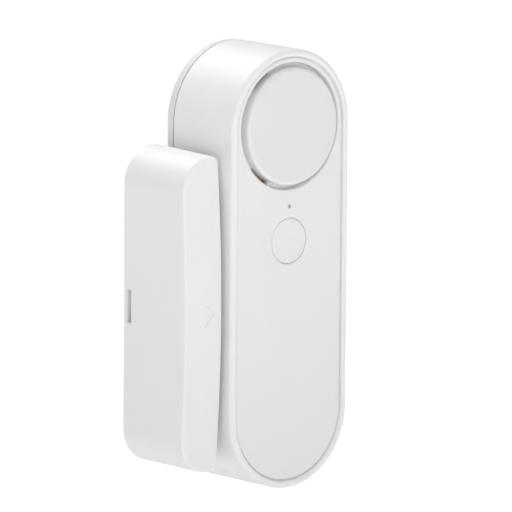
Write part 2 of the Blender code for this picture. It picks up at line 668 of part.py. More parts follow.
def battery_chassis():
    """The inner back cover: a plate with the battery bay, screw bosses, board posts and hook notches."""
    chassis = new_object("battery_chassis",
                         [stepped_stadium([(CHASSIS_INSET, CHASSIS_BACK), (CHASSIS_INSET, CHASSIS_FRONT)])])
    rooted = CHASSIS_FRONT - OVERLAP
    outer = BAY_HALF_WIDTH + BAY_WALL
    additions = [box((-outer, outer), (rooted, BAY_FLOOR + BAY_WALL),
                     (BAY_Z[0] - BAY_WALL, BAY_Z[1] + BAY_WALL))]
    additions += [prism(circle(place, CHASSIS_BOSS_RADIUS, 24), (rooted, CHASSIS_BOSS_FRONT))
                  for place in SCREW_PLACES]
    posts = [(side * BOARD_SCREW[0], BOARD_SCREW[1]) for side in (-1, 1)]
    additions += [prism(circle(post, 1.6, 20), (rooted, BOARD_BACK - GAP)) for post in posts]
    combine(chassis, additions, "UNION")
    back = CHASSIS_BACK - PAST
    cuts = [box((-BAY_HALF_WIDTH, BAY_HALF_WIDTH), (back, BAY_FLOOR), BAY_Z)]
    cuts += [prism(circle(place, SCREW_HEAD_RADIUS + GAP, 20), (back, SCREW_HEAD_DEPTHS[1] + GAP))
             for place in SCREW_PLACES]
    cuts += [prism(circle(place, SCREW_SHAFT_RADIUS + GAP, 16), (back, CHASSIS_BOSS_FRONT + PAST))
             for place in SCREW_PLACES]
    cuts += [prism(circle(post, 1.1, 16), (8.7, BOARD_BACK + PAST)) for post in posts]
    cuts += [box((side * (HOOK_X[0] - GAP), side * UNIT_HALF_WIDTH), (back, CHASSIS_FRONT + PAST),
                 [end * (z + step) for z, step in zip(HOOK_Z, (-GAP, GAP))])
             for side in (-1, 1) for end in (-1, 1)]
    cuts += [box((side * CELL_X - 1.4, side * CELL_X + 1.4),
                 (BAY_FLOOR - PAST, BAY_FLOOR + BAY_WALL + PAST),
                 (BAY_Z[1] - 1.1, BAY_Z[1] - 0.1)) for side in (-1, 1)]
    combine(chassis, cuts, "DIFFERENCE")
    settle(chassis, "inner_plastic", "wall_unit")


def cell(name, side, upright):
    """One AAA cell. Its nub points up when upright, and its other end leaves room for a spring."""
    body = CELL_LENGTH - CELL_NUB_HEIGHT
    profile = [(CELL_RADIUS - 0.7, 0.0), (CELL_RADIUS, 0.5), (CELL_RADIUS, body - 0.5),
               (CELL_RADIUS - 0.6, body), (CELL_NUB_RADIUS, body), (CELL_NUB_RADIUS, CELL_LENGTH)]
    if upright:
        placed = [(radius, CELL_TOP - CELL_LENGTH + z) for radius, z in profile]
    else:
        placed = [(radius, CELL_BOTTOM + CELL_LENGTH - z) for radius, z in profile]
    rings = turned_upright(side * CELL_X, CELL_DEPTH, placed, 28)
    settle(new_object(name, [rings]), "cell_sleeve", "wall_unit")


def contact_spring(name, side, start, end):
    """A conical spring from its contact plate, at z = start, to the flat end of a cell, at z = end."""
    turns, steps, wire = 4, 14, 0.3
    direction = 1 if end > start else -1
    low, high = start + direction * (wire + GAP), end - direction * (wire + 0.2)
    points = []
    for i in range(turns * steps + 1):
        share = i / (turns * steps)
        angle, radius = 2 * math.pi * turns * share, 3.6 - 1.6 * share
        points.append((side * CELL_X + radius * math.cos(angle), CELL_DEPTH + radius * math.sin(angle),
                       low + (high - low) * share))
    settle(new_wire(name, points, wire), "steel", "wall_unit")


def contact_plate(name, x_range, z_low, tab_x):
    """A thin upright plate at one end of the bay, with a tab to the board where tab_x is given."""
    near, far = CELL_DEPTH - 3.9, CELL_DEPTH + 4.4
    x0, x1 = x_range
    outline = [(x0, near), (x1, near), (x1, far), (x0, far)]
    if tab_x is not None:
        tip = BOARD_BACK - GAP
        outline[3:3] = [(tab_x + 1.0, far), (tab_x + 1.0, tip), (tab_x - 1.0, tip), (tab_x - 1.0, far)]
    rings = [[Vector((x, -depth, z)) * MM for x, depth in outline]
             for z in (z_low, z_low + CONTACT_THICKNESS)]
    settle(new_object(name, [rings]), "steel", "wall_unit")


def batteries():
    cell("battery_cell_left", -1, True)
    cell("battery_cell_right", 1, False)
    lower, upper = BAY_Z[0] + GAP, BAY_Z[1] - GAP - CONTACT_THICKNESS
    contact_plate("battery_link_plate", (-10.4, 10.4), lower, None)
    contact_plate("battery_positive_plate", (-10.2, -1.2), upper, -CELL_X)
    contact_plate("battery_negative_plate", (1.2, 10.2), upper, CELL_X)
    contact_spring("battery_spring_left", -1, lower + CONTACT_THICKNESS, CELL_TOP - CELL_LENGTH)
    contact_spring("battery_spring_right", 1, upper, CELL_BOTTOM + CELL_LENGTH)


# ---------------------------------------------------------------- magnet unit


def magnet_point(x, z, depth, crowned):
    """A point of the magnet unit, moved for the front's crown and for the draft of the top face."""
    share = (z - MAGNET_Z) / (MAGNET_HEIGHT / 2)
    if crowned:
        depth -= MAGNET_CROWN * share ** 2
    return Vector((x, -depth, z - MAGNET_TOP_DRAFT * max(share, 0.0) * depth / MAGNET_FRONT)) * MM


def magnet_ring(inset, depth, crowned):
    """The outline as one ring, up its left side and down its right. The ends of a crowned ring bend back."""
    rows = magnet_rows(inset)
    left = [magnet_point(x, z, depth, crowned) for z, x, _ in rows]
    right = [magnet_point(x, z, depth, crowned) for z, _, x in rows]
    return left + right[::-1]


def add_magnet_shape(mesh, rings):
    """Skins the rings and fills each end with a strip of faces from left to right, which can be curved."""
    loops = [[mesh.verts.new(point) for point in ring] for ring in rings]
    for near, far in zip(loops, loops[1:]):
        for i in range(len(near)):
            mesh.faces.new((near[i - 1], near[i], far[i], far[i - 1]))
    for loop in (loops[0], loops[-1]):
        for i in range(len(loop) // 2 - 1):
            mesh.faces.new((loop[i], loop[i + 1], loop[-2 - i], loop[-1 - i]))


def magnet_object(name, rings):
    mesh = bmesh.new()
    add_magnet_shape(mesh, rings)
    return object_from(name, mesh)


def magnet_cover():
    """The lid of the magnet unit, open at the back, with a slot to prise it off."""
    back = MAGNET_BACK
    corner = rounded_corner(MAGNET_FILLET, MAGNET_FRONT)
    rings = [magnet_ring(MAGNET_WALL, MAGNET_FRONT - MAGNET_WALL, True),
             magnet_ring(MAGNET_WALL, back, False), magnet_ring(0.1, back, False),
             magnet_ring(0.0, back + 0.1, False)]
    rings += [magnet_ring(inset, depth, True) for inset, depth in corner]
    cover = magnet_object("magnet_cover", rings)
    left = MAGNET_RIGHT - MAGNET_WIDTH
    slot = box((left - PAST, left + MAGNET_WALL + PAST), PRY_SLOT_DEPTHS, PRY_SLOT_Z)
    combine(cover, [slot], "DIFFERENCE")
    settle(cover, "white_shell", "magnet_lid")


def magnet_base():
    """The plate that stays on the leaf, with two cradles and two end stops for the bar magnet."""
    inset = MAGNET_WALL + GAP
    base = magnet_object("magnet_base", [magnet_ring(inset, depth, False) for depth in MAGNET_BASE_DEPTHS])
    rooted = MAGNET_BASE_DEPTHS[1] - OVERLAP
    inner = BAR_SIZE / 2 + GAP
    outer = MAGNET_WIDTH / 2 - inset - 0.05
    floor, top = BAR_BACK - GAP, BAR_BACK + BAR_SIZE / 2
    profile = [(-outer, rooted), (outer, rooted), (outer, top), (inner, top),
               (inner, floor), (-inner, floor), (-inner, top), (-outer, top)]
    additions = []
    for centre in (-10.5, 10.5):
        additions.append([[Vector((MAGNET_CENTRE_X + x, -depth, MAGNET_Z + centre + end)) * MM
                           for x, depth in profile] for end in (-4.0, 4.0)])
    for side in (-1, 1):
        stop = [MAGNET_Z + side * (BAR_HALF_LENGTH + GAP + w) for w in (0.0, 0.8)]
        additions.append(box((MAGNET_CENTRE_X - outer, MAGNET_CENTRE_X + outer), (rooted, top), stop))
    combine(base, additions, "UNION")
    settle(base, "inner_plastic", "magnet_side")


def bar_magnet():
    half = (-BAR_SIZE / 2, BAR_SIZE / 2)
    length = (MAGNET_Z - BAR_HALF_LENGTH, MAGNET_Z + BAR_HALF_LENGTH)
    x_range = [MAGNET_CENTRE_X + h for h in half]
    magnet = new_object("bar_magnet", [box(x_range, (BAR_BACK, BAR_BACK + BAR_SIZE), length)])
    settle(magnet, "magnet_nickel", "magnet_side")
    front = BAR_BACK + BAR_SIZE + GAP
    foam = new_object("magnet_foam_strip", [box(x_range, (front, front + 0.9), length)])
    settle(foam, "gasket_foam", "magnet_side")


def magnet_adhesive_pad():
    inset = MAGNET_WALL + 3 * GAP
    rings = [magnet_ring(inset, depth, False) for depth in (0.0, MAGNET_PAD_THICKNESS)]
    settle(magnet_object("magnet_adhesive_pad", rings), "adhesive_foam", "magnet_side")


clear_scene()
BODY = make_bodies()
FINISH = make_finishes()
rear_bracket()
bracket_adhesive_pad()
main_housing()
front_panel()
siren_cap()
siren_chamber()
piezo_sounder()
piezo_wires()
button_cap()
tact_switch()
status_light()
circuit_board()
board_parts()
reed_switch()
siren_driver()
antenna()
screws()
battery_chassis()
batteries()
magnet_cover()
magnet_base()
bar_magnet()
magnet_adhesive_pad()
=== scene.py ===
"""Looks of the door contact sensor: camera, lights, floor, and the fine surface and material of each piece.

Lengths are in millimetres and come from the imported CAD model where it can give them. A depth is a distance
out from the wall, which is the plane y = 0, towards the front at -Y. Sections are drawn as (x, z) points.
"""

import math

import bmesh
import bpy
from mathutils import Matrix, Vector


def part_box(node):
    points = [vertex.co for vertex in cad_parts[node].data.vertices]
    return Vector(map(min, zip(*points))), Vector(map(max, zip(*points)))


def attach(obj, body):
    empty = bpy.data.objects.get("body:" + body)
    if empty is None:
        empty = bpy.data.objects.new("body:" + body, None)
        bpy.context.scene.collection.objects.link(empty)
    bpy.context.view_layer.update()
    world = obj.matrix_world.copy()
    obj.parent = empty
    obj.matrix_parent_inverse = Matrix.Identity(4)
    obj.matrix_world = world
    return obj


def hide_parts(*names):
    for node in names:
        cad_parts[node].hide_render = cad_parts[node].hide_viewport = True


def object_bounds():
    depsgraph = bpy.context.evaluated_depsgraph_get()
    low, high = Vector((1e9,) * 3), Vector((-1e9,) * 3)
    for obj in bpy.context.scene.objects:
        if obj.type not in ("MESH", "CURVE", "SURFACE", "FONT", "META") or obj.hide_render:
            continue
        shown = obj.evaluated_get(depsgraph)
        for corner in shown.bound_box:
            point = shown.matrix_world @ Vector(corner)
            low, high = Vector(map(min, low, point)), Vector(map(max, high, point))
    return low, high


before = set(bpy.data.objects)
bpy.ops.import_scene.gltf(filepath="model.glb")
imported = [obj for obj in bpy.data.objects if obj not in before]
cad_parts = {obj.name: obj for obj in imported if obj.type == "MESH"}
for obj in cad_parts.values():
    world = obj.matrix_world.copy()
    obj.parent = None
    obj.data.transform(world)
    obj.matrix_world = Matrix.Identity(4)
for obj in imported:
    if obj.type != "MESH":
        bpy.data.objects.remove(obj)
CAD_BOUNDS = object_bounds()

MM = 0.001
GAP = 0.3
PAST = 1.0                          # how far a cutter runs past the face that it opens


def box_mm(node):
    low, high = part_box(node)
    return low / MM, high / MM


def depths_of(node):
    """How far out from the wall a CAD node starts and ends."""
    low, high = box_mm(node)
    return -high.y, -low.y


def centre_of(node):
    low, high = box_mm(node)
    return (low + high) / 2


# Wall unit, from its CAD nodes.
UNIT_HALF_WIDTH = box_mm("main_housing")[1].x
UNIT_ARC_Z = box_mm("main_housing")[1].z - UNIT_HALF_WIDTH
UNIT_BACK, UNIT_RIM = depths_of("main_housing")
PANEL_BACK, PANEL_FRONT = depths_of("front_panel")
RIM_WIDTH = UNIT_HALF_WIDTH - box_mm("front_panel")[1].x - GAP
RIM_FILLET = 1.0
RIM_INNER_FILLET = 0.45
UNIT_BACK_FILLET = 0.3
WALL = 1.9
LEDGE_INSET = 2.2
LEDGE_BACK = 20.0
PANEL_EDGE = 0.34                   # round edge of the panel and of its siren hole
GROOVE = 0.4                        # how deep the groove round the panel is
TIGHT = 0.03                        # what is left open between pieces that fit closely

# Bracket and its pad. The hooks stand on both sides, above and below the middle.
BRACKET_INSET = UNIT_HALF_WIDTH - box_mm("rear_bracket")[1].x
BRACKET_BACK = depths_of("rear_bracket")[0]
BRACKET_FRONT = 3.0
BRACKET_BACK_FILLET = 1.5
BRACKET_FRONT_FILLET = 0.2
POCKET_RADIUS = 10.5
POCKET_DEPTH = 0.6
POCKET_Z = (-27.0, 0.0, 27.0)
HOOK_X = (13.6, 14.6)
HOOK_Z = (22.0, 30.0)
HOOK_DEPTHS = (2.4, 6.8)
HOOK_TIP_X = 14.3
BARB_X = 14.95
BARB_DEPTHS = (5.4, 5.6, 5.9)       # where the barb starts, where it is fully out, and where it slopes back
PAD_INSET = UNIT_HALF_WIDTH - box_mm("bracket_adhesive_pad")[1].x
PAD_BACK, PAD_FRONT = depths_of("bracket_adhesive_pad")
PAD_FILLET = 0.15

# Screw bosses of the housing, each with a rib to the nearest wall.
BOSS_RADIUS = 2.3
BOSS_BACK = 6.9
BOSS_FRONTS = (15.2, 19.1, 19.1, 19.1)
BOSS_HOLE_RADIUS = 1.3
BOSS_HOLE_FRONT = 13.3
RIB_REACH = 4.3
RIB_HALF_WIDTH = 0.6
RIB_SHORTER = 0.1                   # by this much at both ends than its boss

# Siren, button and status light.
SIREN_HOLE_RADIUS = 14.05
SIREN_CAP_RADIUS = 12.95
SIREN_CAP_WALL = 1.35
SIREN_CAP_FILLET = 0.85
SIREN_CAP_BACK, SIREN_CAP_FRONT = depths_of("siren_cap")
SIREN_OPENINGS = (126.5, 233.5)     # middles of the sound openings round the cap, in degrees
SIREN_OPENING_HALF_ANGLE = 12.5
SIREN_OPENING_FRONT = 21.7
SIREN_OPENING_INNER_RADIUS = 12.97  # just outside the cap's skirt, so an opening cuts only what is round it
SIREN_STEP = 21.3                   # floor of the gap round the siren cap
FLANGE_CHAMFER = 0.1
CHAMBER_FLOOR = 0.7                 # heights of the chamber's floor and ledge above its back
CHAMBER_LEDGE = 1.7
CHAMBER_LEDGE_WIDTH = 1.3
CHAMBER_CHAMFER = 0.2
NOTCH_HALF_WIDTH = 3.6              # of the opening for the leads, between the chamber's floor and ledge
NOTCH_LENGTH = 4.0
NOTCH_MARGIN = 0.05
DISC_CHAMFER = 0.05
BUTTON_Z = centre_of("button_cap").z
BUTTON_RADIUS = 4.87
BUTTON_HOLE_RADIUS = 5.15
BUTTON_HOLE_EDGE = 0.3
BUTTON_FILLET = 0.24
BUTTON_RECESS = 0.08
BUTTON_GROOVE = 0.3
BUTTON_STEM_RADIUS = 1.5
BUTTON_FLANGE_RADIUS = 6.0
BUTTON_FLANGE_BACK = 20.1
LIGHT_Z = centre_of("light_pipe").z
LIGHT_HOLE_RADIUS = 0.45
LIGHT_HOLE_EDGE = 0.06
LIGHT_PIPE_FILLET = 0.3
LIGHT_NOSE_FILLET = 0.2
LIGHT_NOSE_RECESS = 0.12

# Cells and springs. An end is drawn by (radius, height) points, the shoulder by how far in and down it is.
CELL_NUB_HEIGHT = 1.0
CELL_NUB_RADIUS = 1.9
CELL_NUB_EDGE = 0.2
CELL_NUB_FOOT = 0.25                # how far the nub starts below the can's top, and where it turns upright
CELL_NUB_TURN = 0.1
CELL_FLAT_END = ((2.6, 0.25), (2.8, 0.1), (3.9, 0.0), (4.5, 0.0), (4.75, 0.12), (4.85, 0.35))
CELL_CAN_START = 0.4
CELL_SHOULDER = ((0.0, 0.5), (0.1, 0.2), (0.5, 0.1), (0.7, 0.25))
SLEEVE_START = 0.38                 # the sleeve ends this far from the flat end
SLEEVE_END = 0.15                   # and this far from the top of the can
CELL_DEPTH = 8.7
SPRING_TURNS = 4
SPRING_STEPS = 36
SPRING_WIRE_RADIUS = 0.3
SPRING_PLATE_RADIUS = 3.6
SPRING_CELL_RADIUS = 2.0

# Screws. A share is of the head's radius, and of the shaft's for its core and tip.
SHAFT_SHARE = 0.58
CORE_SHARE = 0.82
TIP_SHARE = 0.3
CROSS_SHARE = 0.6
CROSS_HALF_WIDTH = 0.2
CROSS_CORNER = 1.4                  # in half widths
CROSS_DEPTH = 0.7
CROSS_PAST = 0.5
DOME_HEIGHT = 0.55
DOME_ANGLES = (75, 60, 45, 30, 15, 0)
HEAD_HEIGHT = 1.2
THREAD_START = 1.5                  # from the head's top, and then from the tip
THREAD_END = 0.6
THREAD_RINGS = 10

# Magnet unit.
MAGNET_LOW, MAGNET_HIGH = box_mm("magnet_cover")
MAGNET_MIDDLE = (MAGNET_LOW + MAGNET_HIGH) / 2
MAGNET_HALF_HEIGHT = (MAGNET_HIGH.z - MAGNET_LOW.z) / 2
MAGNET_BACK, MAGNET_FRONT = depths_of("magnet_cover")
MAGNET_LEFT_RADIUS = 8.0
MAGNET_RIGHT_RADIUS = 1.7
MAGNET_CROWN = 1.65
MAGNET_TOP_DRAFT = 0.6
MAGNET_FILLET = 0.5
MAGNET_BACK_FILLET = 0.12
MAGNET_WALL = 1.5
SHARP_CORNER = 0.05
PRY_SLOT_Z = (-11.5, -4.2)
PRY_SLOT_DEPTHS = (1.5, 2.9)
PRY_SLOT_LIP = 0.15                 # how much wider the slot is at its mouth, and how deep that part is
PRY_SLOT_LIP_DEPTH = 0.25
ARROW_TIP = 2.2                     # distances of the arrow's tip and tails from the right side
ARROW_TAILS = 4.8
ARROW_HALF_HEIGHT = 2.65
ARROW_STROKE = 0.34
ARROW_GROOVE = 0.18

ARC_STEPS = 80
CIRCLE_STEPS = 144
FILLET_STEPS = 7
MAGNET_ARC_STEPS = 14
MAGNET_CORNER_STEPS = 12
MAGNET_STRAIGHT_STEPS = 40

# Meshes. Angles between faces, in degrees.
WELD = 1e-6                         # in metres
FLAT_ANGLE = 1
BEVEL_ANGLE = 40
BEVEL_SEGMENTS = 3
SMOOTH_ANGLE = 33

NOISE_RANGE = (0.32, 0.68)          # nearly all values of the noise texture lie in it

# Camera: it looks at a point right of and above the middle of the rim's plane, from far away.
CAMERA_AZIMUTH = -41.33
CAMERA_ELEVATION = 9.63
CAMERA_ROLL = 0.41
CAMERA_DISTANCE = 1818.5
CAMERA_LENS = 583.7
AIM_RIGHT = -7.60
AIM_UP = 2.95
CAMERA_CLIP = (0.05, 50.0)          # in metres

FLOOR_DROP = 60.0                   # from the lowest point down to the floor, clear of the camera's view
FLOOR_HALF_SIZE = 6000.0
# Inside the first radius the floor's glow is off: a painted shadow round the object.
FLOOR_PAINTED_SHADOW_RADIUS = 90.0             # the floor glows from here outwards, fully from the second radius
FLOOR_BRIGHT_RADIUS = 240.0

# Softboxes: azimuth and elevation in degrees, distance and side in millimetres, power in watts, colour.
COOL_LIGHT = (1.0, 0.96, 1.05)
WARM_LIGHT = (1.0, 1.0, 0.99)
LIGHTS = {
    "top_softbox": (-20.0, 78.0, 520.0, 420.0, 0.9, WARM_LIGHT),
    "back_softbox": (180.0, 55.0, 520.0, 320.0, 1.32, WARM_LIGHT),
    "front_softbox": (0.0, 25.0, 560.0, 320.0, 0.2, COOL_LIGHT),
    "near_left_softbox": (-35.0, 15.0, 230.0, 120.0, 0.075, COOL_LIGHT),
}
SKY_STRENGTH = 0.27
# Strength of the floor's painted glow, which also lights the object from below.
FLOOR_GLOW = 0.83


# ---------------------------------------------------------------- outlines and rings, in millimetres


def arc(centre, radius, start, end, steps):
    angles = [math.radians(start + (end - start) * i / steps) for i in range(steps + 1)]
    return [(centre[0] + radius * math.cos(a), centre[1] + radius * math.sin(a)) for a in angles]


def circle(centre, radius, steps=CIRCLE_STEPS):
    return arc(centre, radius, 0, 360, steps)[:-1]


def stadium(inset, steps=ARC_STEPS):
    """The wall unit's outline, drawn inwards by inset."""
    radius = UNIT_HALF_WIDTH - inset
    return (arc((0, UNIT_ARC_Z), radius, 0, 180, steps)
            + arc((0, -UNIT_ARC_Z), radius, 180, 360, steps))


def rectangle(x_range, z_range):
    (x0, x1), (z0, z1) = sorted(x_range), sorted(z_range)
    return [(x0, z0), (x1, z0), (x1, z1), (x0, z1)]


def section(outline, depth):
    return [Vector((x, -depth, z)) * MM for x, z in outline]


def prism(outline, depths):
    return [section(outline, depth) for depth in depths]


def box(x_range, depths, z_range):
    return prism(rectangle(x_range, z_range), depths)


def stepped_stadium(path):
    """Rings of the wall unit's outline, from (inset, depth) pairs."""
    return [section(stadium(inset), depth) for inset, depth in path]


def turned(centre, profile, steps=CIRCLE_STEPS):
    """Rings round an axis along the depth, from (radius, depth) pairs."""
    return [section(circle(centre, radius, steps), depth) for radius, depth in profile]


def turned_upright(x, depth, profile, steps=72):
    """Rings round a vertical axis, from (radius, z) pairs."""
    return [[Vector((px, -py, z)) * MM for px, py in circle((x, depth), radius, steps)]
            for radius, z in profile]


def fillet(radius, depth, steps=FILLET_STEPS):
    """(inset, depth) pairs that turn a side wall into a front face at depth."""
    quarter = [math.radians(90 * i / steps) for i in range(steps + 1)]
    return [(radius * (1 - math.cos(a)), depth - radius * (1 - math.sin(a))) for a in quarter]


def back_fillet(radius, depth, steps=FILLET_STEPS):
    """The same for a back face, from the face to the side wall."""
    return [(inset, 2 * depth - d) for inset, d in reversed(fillet(radius, depth, steps))]


def flared_hole(centre, radius, face_depth, edge):
    """A cutter that leaves a round edge where a hole meets the face."""
    quarter = [math.radians(90 * i / FILLET_STEPS) for i in range(FILLET_STEPS + 1)]
    flare = [(radius + edge * (1 - math.cos(a)), face_depth - edge * (1 - math.sin(a))) for a in quarter]
    return turned(centre, [(radius, PANEL_BACK - PAST), *flare, (radius + edge, face_depth + PAST)])


# ---------------------------------------------------------------- meshes


def skin(mesh, rings, closed):
    """Joins each ring to the next. The first and last are joined when closed, and filled when not."""
    loops = [[mesh.verts.new(point) for point in ring] for ring in rings]
    following = loops[1:] + loops[:1] if closed else loops[1:]
    for near, far in zip(loops, following):
        for i in range(len(near)):
            mesh.faces.new((near[i - 1], near[i], far[i], far[i - 1]))
    if not closed:
        mesh.faces.new(loops[0])
        mesh.faces.new(loops[-1])


def object_from(name, mesh):
    bmesh.ops.recalc_face_normals(mesh, faces=mesh.faces)
    data = bpy.data.meshes.new(name)
    mesh.to_mesh(data)
    mesh.free()
    obj = bpy.data.objects.new(name, data)
    bpy.context.scene.collection.objects.link(obj)
    return obj


def new_piece(name, shapes, closed=False):
    mesh = bmesh.new()
    for rings in shapes:
        skin(mesh, rings, closed)
    return object_from(name, mesh)


def combine(target, shapes, operation):
    """Joins shapes to the target with UNION or cuts them from it with DIFFERENCE."""
    for rings in shapes:
        tool = new_piece("tool", [rings])
        modifier = target.modifiers.new(operation, "BOOLEAN")
        modifier.solver = "EXACT"
        modifier.operation = operation
        modifier.object = tool
        graph = bpy.context.evaluated_depsgraph_get()
        result = bpy.data.meshes.new_from_object(target.evaluated_get(graph))
        target.modifiers.remove(modifier)
        target.data = result
        bpy.data.objects.remove(tool)


def refined(node, edge):
    """A copy of a CAD node's mesh with its flat faces whole again and its edges rounded."""
    mesh = bmesh.new()
    mesh.from_mesh(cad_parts[node].data)
    bmesh.ops.remove_doubles(mesh, verts=mesh.verts, dist=WELD)
    bmesh.ops.dissolve_limit(mesh, angle_limit=math.radians(FLAT_ANGLE), verts=mesh.verts, edges=mesh.edges)
    obj = object_from(node + "_fine", mesh)
    rounding = obj.modifiers.new("round_edges", "BEVEL")
    rounding.width = edge * MM
    rounding.segments = BEVEL_SEGMENTS
    rounding.limit_method = "ANGLE"
    rounding.angle_limit = math.radians(BEVEL_ANGLE)
    rounding.miter_outer = "MITER_ARC"
    return obj


def settle(obj, material, body, nodes):
    """Smooth round faces, even flat ones, the material, and what the piece rides on and stands for."""
    obj.data.materials.clear()
    for look in material if isinstance(material, (list, tuple)) else [material]:
        obj.data.materials.append(look)
    obj.data.shade_smooth()
    obj.data.set_sharp_from_angle(angle=math.radians(SMOOTH_ANGLE))
    normals = obj.modifiers.new("even_normals", "WEIGHTED_NORMAL")
    normals.keep_sharp = True
    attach(obj, body)
    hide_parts(*nodes)
    return obj


# ---------------------------------------------------------------- materials


def add(tree, kind, inputs=None, **settings):
    """A new node. An input is a value or another node's output."""
    made = tree.nodes.new(kind)
    for name, value in settings.items():
        setattr(made, name, value)
    for name, value in (inputs or {}).items():
        if isinstance(value, bpy.types.NodeSocket):
            tree.links.new(value, made.inputs[name])
        else:
            made.inputs[name].default_value = value
    return made


def new_material(name, **values):
    """A material, its node tree, its shader, and the place of each point in millimetres."""
    material = bpy.data.materials.new(name)
    material.use_nodes = True
    tree = material.node_tree
    shader = tree.nodes["Principled BSDF"]
    for socket, value in values.items():
        shader.inputs[socket.replace("_", " ")].default_value = value
    coordinates = add(tree, "ShaderNodeTexCoord").outputs["Object"]
    place = add(tree, "ShaderNodeVectorMath", {0: coordinates, "Scale": 1000.0}, operation="SCALE")
    return material, tree, shader, place.outputs["Vector"]


def stretched(tree, place, scale):
    return add(tree, "ShaderNodeMapping", {"Vector": place, "Scale": scale}).outputs["Vector"]


def cloud(tree, place, size, low=0.0, high=1.0, detail=2.0):
    """Soft noise with features of about size millimetres, spread between low and high."""
    noise = add(tree, "ShaderNodeTexNoise", {"Vector": place, "Scale": 1.0 / size, "Detail": detail})
    spread = {"Value": noise.outputs["Fac"], "From Min": NOISE_RANGE[0], "From Max": NOISE_RANGE[1],
              "To Min": low, "To Max": high}
    return add(tree, "ShaderNodeMapRange", spread).outputs["Result"]


def tint(tree, share, first, second):
    """A colour between two, each a colour or another node's output."""
    mix = add(tree, "ShaderNodeMix", {0: share}, data_type="RGBA")
    for index, colour in ((6, first), (7, second)):
        if isinstance(colour, bpy.types.NodeSocket):
            tree.links.new(colour, mix.inputs[index])
        else:
            mix.inputs[index].default_value = (*colour, 1.0)
    return mix.outputs[2]


def relief(tree, shader, height, depth):
    """A bump of the given depth in millimetres."""
    bump = add(tree, "ShaderNodeBump", {"Height": height, "Distance": depth * MM, "Strength": 1.0})
    tree.links.new(bump.outputs["Normal"], shader.inputs["Normal"])


def moulded_plastic(name, shade, lighter, roughness, grain=0.16, grain_depth=0.004, milky=0.0):
    """Fine spark-eroded mould texture, with faint flow clouds and a roughness that varies a little.

    Milky plastic lets light through by about half a millimetre.
    """
    material, tree, shader, place = new_material(name, Subsurface_Weight=milky, Subsurface_Scale=0.6 * MM)
    shader.inputs["Subsurface Radius"].default_value = (1.0, 0.95, 0.9)
    flow = cloud(tree, stretched(tree, place, (1.0, 1.0, 0.45)), 9.0, detail=3.0)
    fleck = cloud(tree, place, 0.35)
    share = add(tree, "ShaderNodeMath", {0: flow, 1: fleck}, operation="MULTIPLY").outputs[0]
    tree.links.new(tint(tree, share, shade, lighter), shader.inputs["Base Color"])
    low, high = roughness
    tree.links.new(cloud(tree, place, 1.8, low, high, 3.0), shader.inputs["Roughness"])
    relief(tree, shader, cloud(tree, place, grain, detail=4.0), grain_depth)
    return material


def foam(name, shade, lighter, pore, pore_depth):
    """Closed-cell foam: pores of a given size, darker into their hollows with painted shade."""
    material, tree, shader, place = new_material(name, Roughness=0.85)
    cells = add(tree, "ShaderNodeTexVoronoi", {"Vector": place, "Scale": 1.0 / pore}).outputs["Distance"]
    # The colour darkens into each pore, where the bump is lowest: painted shade.
    tree.links.new(tint(tree, cells, shade, lighter), shader.inputs["Base Color"])
    relief(tree, shader, cells, pore_depth)
    return material


def brushed_metal(name, shade, lighter, roughness, along=(1.0, 1.0, 0.04), line=0.12, line_depth=0.0004,
                  metallic=1.0):
    """Rolled or plated metal with fine lines along one direction and patches of a duller tone."""
    material, tree, shader, place = new_material(name, Metallic=metallic)
    lines = cloud(tree, stretched(tree, place, along), line, detail=3.0)
    patches = cloud(tree, place, 3.0, detail=3.0)
    tree.links.new(tint(tree, patches, shade, lighter), shader.inputs["Base Color"])
    low, high = roughness
    spread = {"Value": lines, "To Min": low, "To Max": high}
    tree.links.new(add(tree, "ShaderNodeMapRange", spread).outputs["Result"], shader.inputs["Roughness"])
    relief(tree, shader, lines, line_depth)
    return material


def circuit_laminate():
    """Green solder mask over glass weave, with raised copper tracks in a regular pattern."""
    material, tree, shader, place = new_material("solder_mask", Roughness=0.32, Coat_Weight=0.4)
    weave = add(tree, "ShaderNodeTexWave", {"Vector": place, "Scale": 1.2, "Distortion": 0.3})
    upright = add(tree, "ShaderNodeMapping", {"Vector": place, "Rotation": (math.radians(90), 0.0, 0.0)})
    brick = {"Vector": upright.outputs["Vector"], "Scale": 0.3, "Mortar Size": 0.035, "Brick Width": 3.4,
             "Row Height": 0.4}
    layout = add(tree, "ShaderNodeTexBrick", brick, offset=0.37, squash=0.6, squash_frequency=3)
    tracks = layout.outputs["Fac"]
    base = tint(tree, weave.outputs["Fac"], (0.020, 0.120, 0.050), (0.025, 0.150, 0.062))
    tree.links.new(tint(tree, tracks, base, (0.034, 0.190, 0.080)), shader.inputs["Base Color"])
    relief(tree, shader, tracks, 0.03)
    return material


def clear_plastic(name, colour, roughness, transmission):
    """Glass or clear plastic with faint inclusions."""
    material, tree, shader, place = new_material(name, Transmission_Weight=transmission, IOR=1.49)
    paler = tuple(min(1.0, c * 1.12) for c in colour)
    tree.links.new(tint(tree, cloud(tree, place, 0.8), colour, paler), shader.inputs["Base Color"])
    tree.links.new(cloud(tree, place, 0.6, roughness, roughness * 1.6), shader.inputs["Roughness"])
    return material


